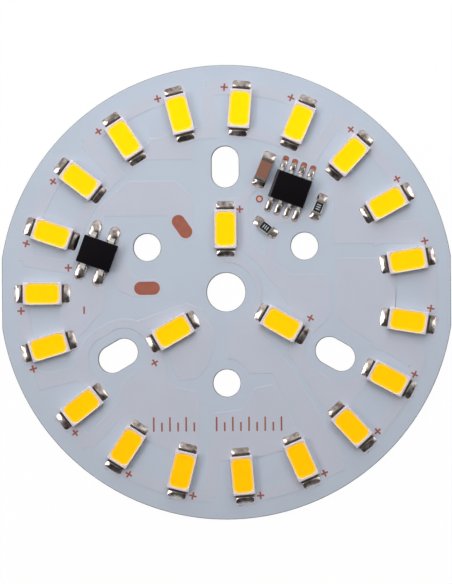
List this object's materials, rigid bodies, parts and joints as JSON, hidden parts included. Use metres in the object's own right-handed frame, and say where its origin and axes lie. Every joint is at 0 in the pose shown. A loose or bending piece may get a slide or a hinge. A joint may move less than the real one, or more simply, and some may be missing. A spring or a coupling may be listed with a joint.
{
  "type": "led module",
  "caption": "Round aluminium-core LED board with yellow phosphor packages in a ring and near the middle, an on-board rectifier and driver, and fixing holes and slots.",
  "frame": {"origin": "the middle of the board's flat underside, on the axis of its disc", "axes": "+Z out of the populated face, +Y towards the slot nearest the driver chip, +X to the right of it seen from above; the two break-out flats face +X and -X"},
  "size_m": [0.0594, 0.06, 0.0027],
  "materials": {
    "aluminium_core": "satin",
    "dielectric": "satin",
    "copper": "satin",
    "solder_mask": "satin",
    "led_housing": "matte",
    "led_phosphor": "matte",
    "plated_leads": "satin",
    "solder": "gloss",
    "chip_moulding": "matte",
    "capacitor_ceramic": "matte",
    "end_caps": "satin",
    "alumina": "matte",
    "resistor_coat": "gloss"
  },
  "bodies": {
    "root": {"base_plate": "aluminium_core", "bridge_body": "chip_moulding", "bridge_leads": "plated_leads", "capacitor_body": "capacitor_ceramic", "capacitor_terminations": "end_caps", "component_solder": "solder", "copper_foil": "copper", "dielectric_layer": "dielectric", "driver_body": "chip_moulding", "driver_leads": "plated_leads", "led_housing_01": "led_housing", "led_housing_02": "led_housing", "led_housing_03": "led_housing", "led_housing_04": "led_housing", "led_housing_05": "led_housing", "led_housing_06": "led_housing", "led_housing_07": "led_housing", "led_housing_08": "led_housing", "led_housing_09": "led_housing", "led_housing_10": "led_housing", "led_housing_11": "led_housing", "led_housing_12": "led_housing", "led_housing_13": "led_housing", "led_housing_14": "led_housing", "led_housing_15": "led_housing", "led_housing_16": "led_housing", "led_housing_17": "led_housing", "led_housing_18": "led_housing", "led_housing_19": "led_housing", "led_housing_20": "led_housing", "led_housing_21": "led_housing", "led_housing_22": "led_housing", "led_phosphor_01": "led_phosphor", "led_phosphor_02": "led_phosphor", "led_phosphor_03": "led_phosphor", "led_phosphor_04": "led_phosphor", "led_phosphor_05": "led_phosphor", "led_phosphor_06": "led_phosphor", "led_phosphor_07": "led_phosphor", "led_phosphor_08": "led_phosphor", "led_phosphor_09": "led_phosphor", "led_phosphor_10": "led_phosphor", "led_phosphor_11": "led_phosphor", "led_phosphor_12": "led_phosphor", "led_phosphor_13": "led_phosphor", "led_phosphor_14": "led_phosphor", "led_phosphor_15": "led_phosphor", "led_phosphor_16": "led_phosphor", "led_phosphor_17": "led_phosphor", "led_phosphor_18": "led_phosphor", "led_phosphor_19": "led_phosphor", "led_phosphor_20": "led_phosphor", "led_phosphor_21": "led_phosphor", "led_phosphor_22": "led_phosphor", "led_solder": "solder", "led_terminals": "plated_leads", "resistor_bodies": "alumina", "resistor_coats": "resistor_coat", "resistor_terminations": "end_caps", "solder_mask": "solder_mask"}
  },
  "joints": []
}
